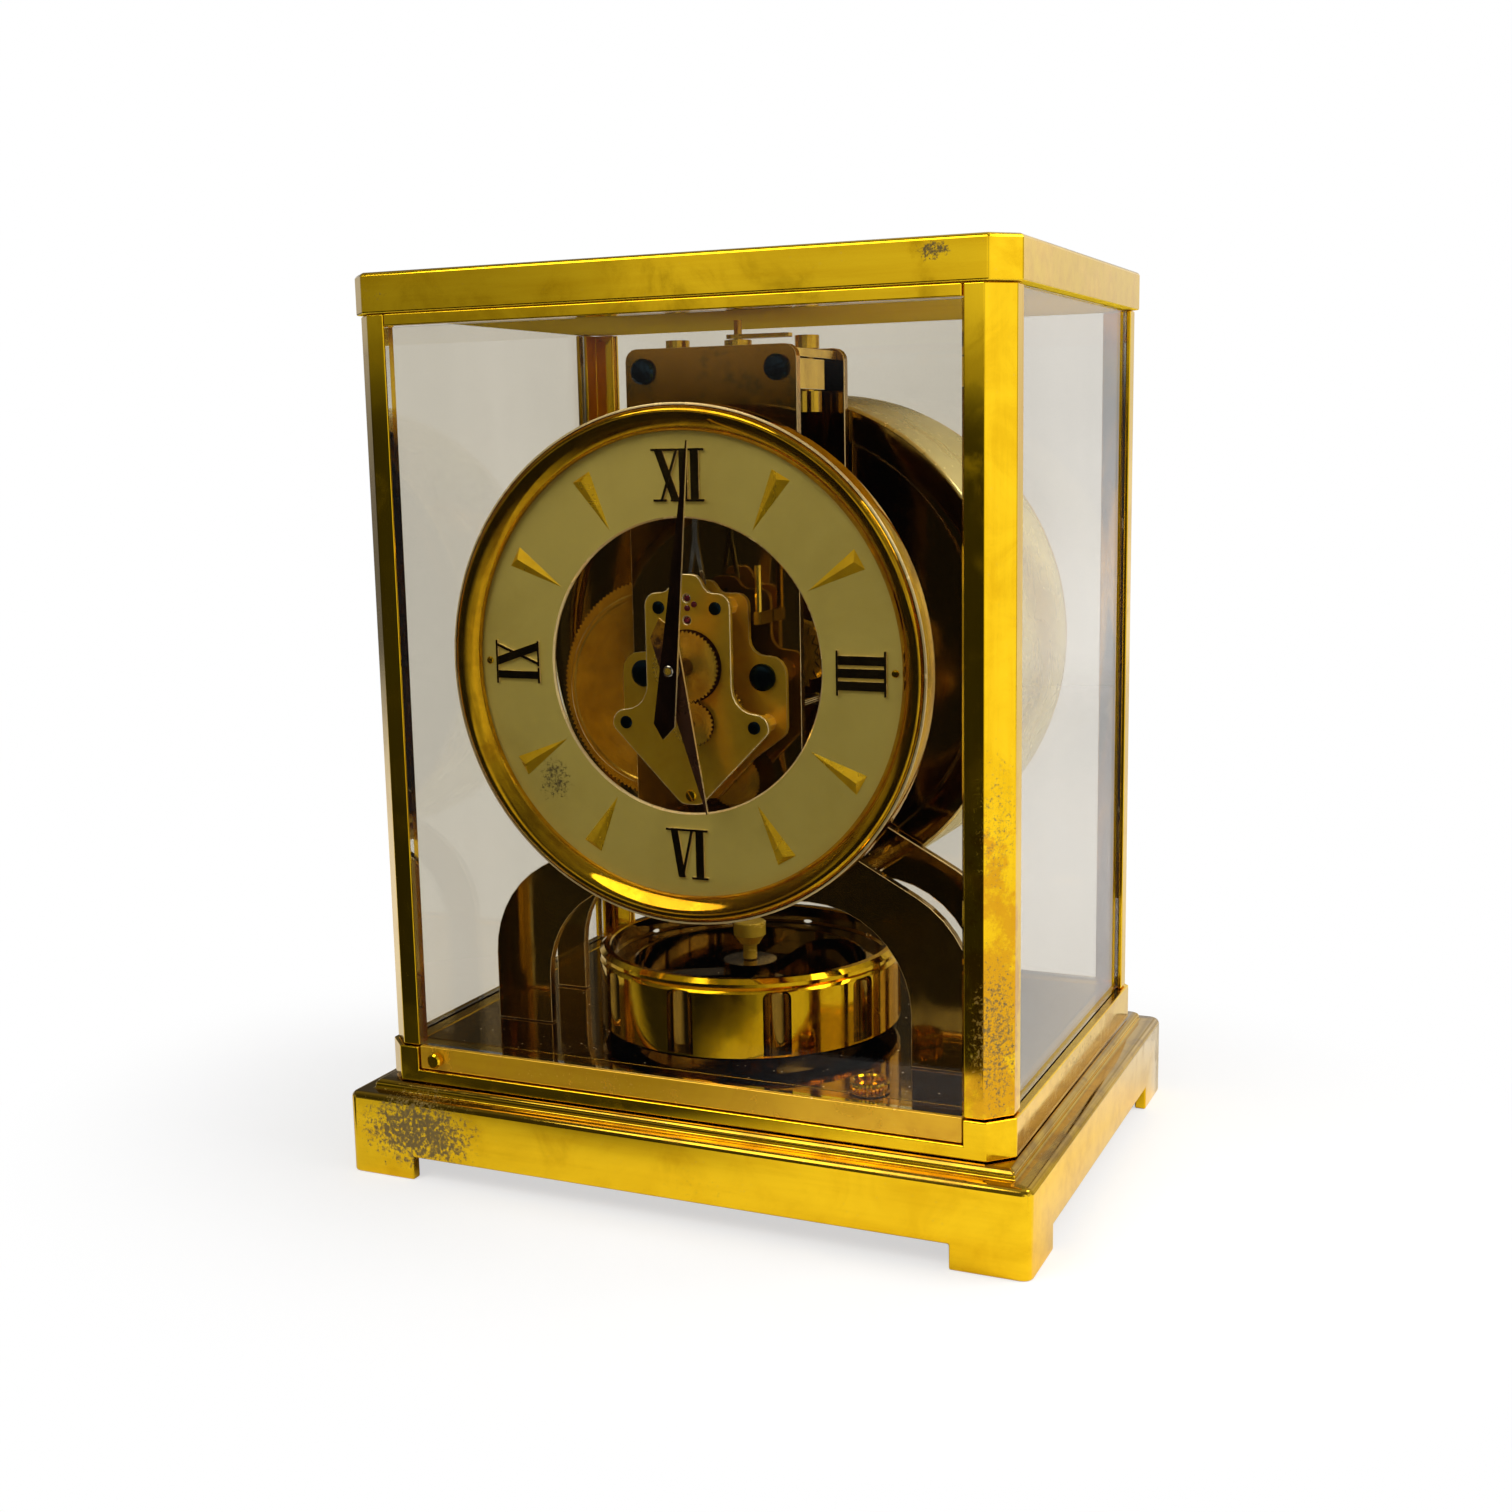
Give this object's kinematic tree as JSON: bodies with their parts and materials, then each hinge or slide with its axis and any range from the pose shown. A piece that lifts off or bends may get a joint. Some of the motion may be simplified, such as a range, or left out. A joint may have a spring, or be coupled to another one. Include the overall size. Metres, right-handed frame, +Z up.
{
  "type": "torsion pendulum clock",
  "caption": "Glazed brass case on a stepped plinth with an open-centre dial, a train of wheels, a sealed bellows drum and a fluted ring pendulum on a torsion wire.",
  "frame": {"origin": "centre of the underside, level with the feet of the plinth", "axes": "+Z up, +X to the right of someone who reads the dial, -Y out of the dial towards them"},
  "size_m": [0.18, 0.135, 0.225],
  "materials": {
    "polished_brass": "polished and lacquered",
    "gilt_brass": "gilt, fine satin",
    "mirror_brass": "mirror polished, lacquered",
    "clear_glass": "clear, polished edges",
    "bright_steel": "polished",
    "silvered_dial": "silvered, fine matt",
    "lacquered_hands": "dark lacquer with bright bevels"
  },
  "bodies": {
    "case": {"plinth": "polished_brass", "lower_case_frame": "polished_brass", "floor_plate": "mirror_brass", "post_front_left": "polished_brass", "post_front_right": "polished_brass", "post_back_left": "polished_brass", "post_back_right": "polished_brass", "top_cap": "polished_brass", "side_glass_left": "clear_glass", "side_glass_right": "clear_glass", "back_glass": "clear_glass", "spirit_level": "polished_brass", "front_arch_plate": "mirror_brass", "rear_arch_plate": "mirror_brass", "plate_pillar_left": "gilt_brass", "plate_pillar_right": "gilt_brass", "suspension_bridge": "gilt_brass", "suspension_block": "gilt_brass", "bridge_screw_left": "gilt_brass", "bridge_screw_right": "gilt_brass", "suspension_head": "gilt_brass", "bellows_drum": "mirror_brass", "bellows_drum_cover": "polished_brass", "bellows": "gilt_brass", "dial_ring": "silvered_dial", "dial_carrier": "gilt_brass", "bezel": "polished_brass", "movement_front_plate": "gilt_brass", "movement_rear_plate": "gilt_brass", "steady_rod": "gilt_brass"},
    "door": {"door_bottom_rail": "polished_brass", "door_top_rail": "polished_brass", "door_glass": "clear_glass"},
    "door_latch": {"door_latch_stud": "polished_brass"},
    "regulator": {"regulator_lever": "gilt_brass"},
    "pendulum": {"pendulum_ring": "polished_brass", "pendulum_spider": "gilt_brass", "pendulum_collar": "polished_brass", "suspension_wire": "bright_steel", "impulse_roller": "bright_steel"},
    "pallet_lever": {"pallet_lever": "bright_steel"},
    "escape_arbor": {"escape_wheel": "gilt_brass"},
    "centre_arbor": {"centre_wheel": "gilt_brass", "minute_hand": "lacquered_hands"},
    "hour_tube": {"hour_wheel": "gilt_brass", "hour_hand": "lacquered_hands"},
    "third_arbor": {"third_wheel": "gilt_brass"},
    "second_arbor": {"second_wheel": "gilt_brass"},
    "first_arbor": {"first_wheel": "gilt_brass"},
    "barrel": {"mainspring_barrel": "gilt_brass"},
    "winding_arbor": {"winding_wheel": "gilt_brass"},
    "chain_pulley": {"chain_pulley": "gilt_brass"},
    "winding_click": {"winding_click": "bright_steel"},
    "levelling_left": {"levelling_screw_left": "gilt_brass"},
    "levelling_right": {"levelling_screw_right": "gilt_brass"},
    "levelling_back": {"levelling_screw_back": "gilt_brass"},
    "lock_lever": {"pendulum_lock_lever": "polished_brass"},
    "lock_pin": {"pendulum_lock_pin": "bright_steel"}
  },
  "joints": [
    {"name": "door_lift_out", "type": "slide", "parent": "case", "child": "door", "axis": [0, -1, 0], "range_m": [0, 0.06]},
    {"name": "door_latch_turn", "type": "hinge", "parent": "door", "child": "door_latch", "pos_m": [-0.0668, -0.062, 0.0303], "axis": [0, 1, 0], "range_deg": [0, 90]},
    {"name": "regulator_turn", "type": "hinge", "parent": "case", "child": "regulator", "pos_m": [0, -0.014, 0.208], "axis": [0, 0, 1], "range_deg": [-30, 30]},
    {"name": "pendulum_turn", "type": "hinge", "parent": "case", "child": "pendulum", "pos_m": [0, -0.014, 0.046], "axis": [0, 0, 1], "range_deg": [-270, 270], "stiffness_Nm_per_rad": 0.0000045},
    {"name": "pallet_lever_rock", "type": "hinge", "parent": "case", "child": "pallet_lever", "pos_m": [0, -0.04, 0.1473], "axis": [0, 1, 0], "range_deg": [-3, 3]},
    {"name": "centre_arbor_turn", "type": "hinge", "parent": "case", "child": "centre_arbor", "pos_m": [0, -0.043, 0.1312], "axis": [0, 1, 0], "continuous": true},
    {"name": "hour_tube_turn", "type": "hinge", "parent": "case", "child": "hour_tube", "pos_m": [0, -0.05, 0.1312], "axis": [0, 1, 0], "continuous": true},
    {"name": "third_arbor_turn", "type": "hinge", "parent": "case", "child": "third_arbor", "pos_m": [0.0016, -0.04, 0.1176], "axis": [0, 1, 0], "continuous": true},
    {"name": "second_arbor_turn", "type": "hinge", "parent": "case", "child": "second_arbor", "pos_m": [0.00187, -0.034, 0.10949], "axis": [0, 1, 0], "continuous": true},
    {"name": "first_arbor_turn", "type": "hinge", "parent": "case", "child": "first_arbor", "pos_m": [0.0065, -0.03, 0.1023], "axis": [0, 1, 0], "continuous": true},
    {"name": "barrel_turn", "type": "hinge", "parent": "case", "child": "barrel", "pos_m": [-0.01755, -0.024, 0.12248], "axis": [0, 1, 0], "continuous": true},
    {"name": "escape_arbor_turn", "type": "hinge", "parent": "case", "child": "escape_arbor", "pos_m": [0, -0.041, 0.1421], "axis": [0, 1, 0], "continuous": true},
    {"name": "winding_arbor_turn", "type": "hinge", "parent": "case", "child": "winding_arbor", "pos_m": [-0.01755, -0.015, 0.12248], "axis": [0, 1, 0], "continuous": true},
    {"name": "chain_pulley_turn", "type": "hinge", "parent": "case", "child": "chain_pulley", "pos_m": [0.01211, -0.012, 0.13077], "axis": [0, 1, 0], "continuous": true},
    {"name": "winding_click_turn", "type": "hinge", "parent": "case", "child": "winding_click", "pos_m": [0.02135, -0.018, 0.12053], "axis": [0, 1, 0], "range_deg": [-12, 0]},
    {"name": "levelling_left_turn", "type": "hinge", "parent": "case", "child": "levelling_left", "pos_m": [-0.072, -0.05, 0.01], "axis": [0, 0, 1], "continuous": true},
    {"name": "levelling_right_turn", "type": "hinge", "parent": "case", "child": "levelling_right", "pos_m": [0.072, -0.05, 0.01], "axis": [0, 0, 1], "continuous": true},
    {"name": "levelling_back_turn", "type": "hinge", "parent": "case", "child": "levelling_back", "pos_m": [0, 0.05, 0.01], "axis": [0, 0, 1], "continuous": true},
    {"name": "lock_lever_turn", "type": "hinge", "parent": "case", "child": "lock_lever", "pos_m": [0, -0.014, 0.016], "axis": [0, 0, 1], "range_deg": [0, 60]},
    {"name": "lock_pin_rise", "type": "slide", "parent": "case", "child": "lock_pin", "axis": [0, 0, 1], "range_m": [0, 0.0095]}
  ],
  "couplings": [
    {"joint": "hour_tube_turn", "follows": "centre_arbor_turn", "ratio": 0.083333},
    {"joint": "third_arbor_turn", "follows": "centre_arbor_turn", "ratio": -0.13333},
    {"joint": "second_arbor_turn", "follows": "centre_arbor_turn", "ratio": 0.027778},
    {"joint": "first_arbor_turn", "follows": "centre_arbor_turn", "ratio": -0.0074074},
    {"joint": "barrel_turn", "follows": "centre_arbor_turn", "ratio": 0.00095923},
    {"joint": "escape_arbor_turn", "follows": "centre_arbor_turn", "ratio": -4},
    {"joint": "chain_pulley_turn", "follows": "winding_arbor_turn", "ratio": -2.08},
    {"joint": "lock_pin_rise", "follows": "lock_lever_turn", "m_per_rad": 0.009}
  ]
}
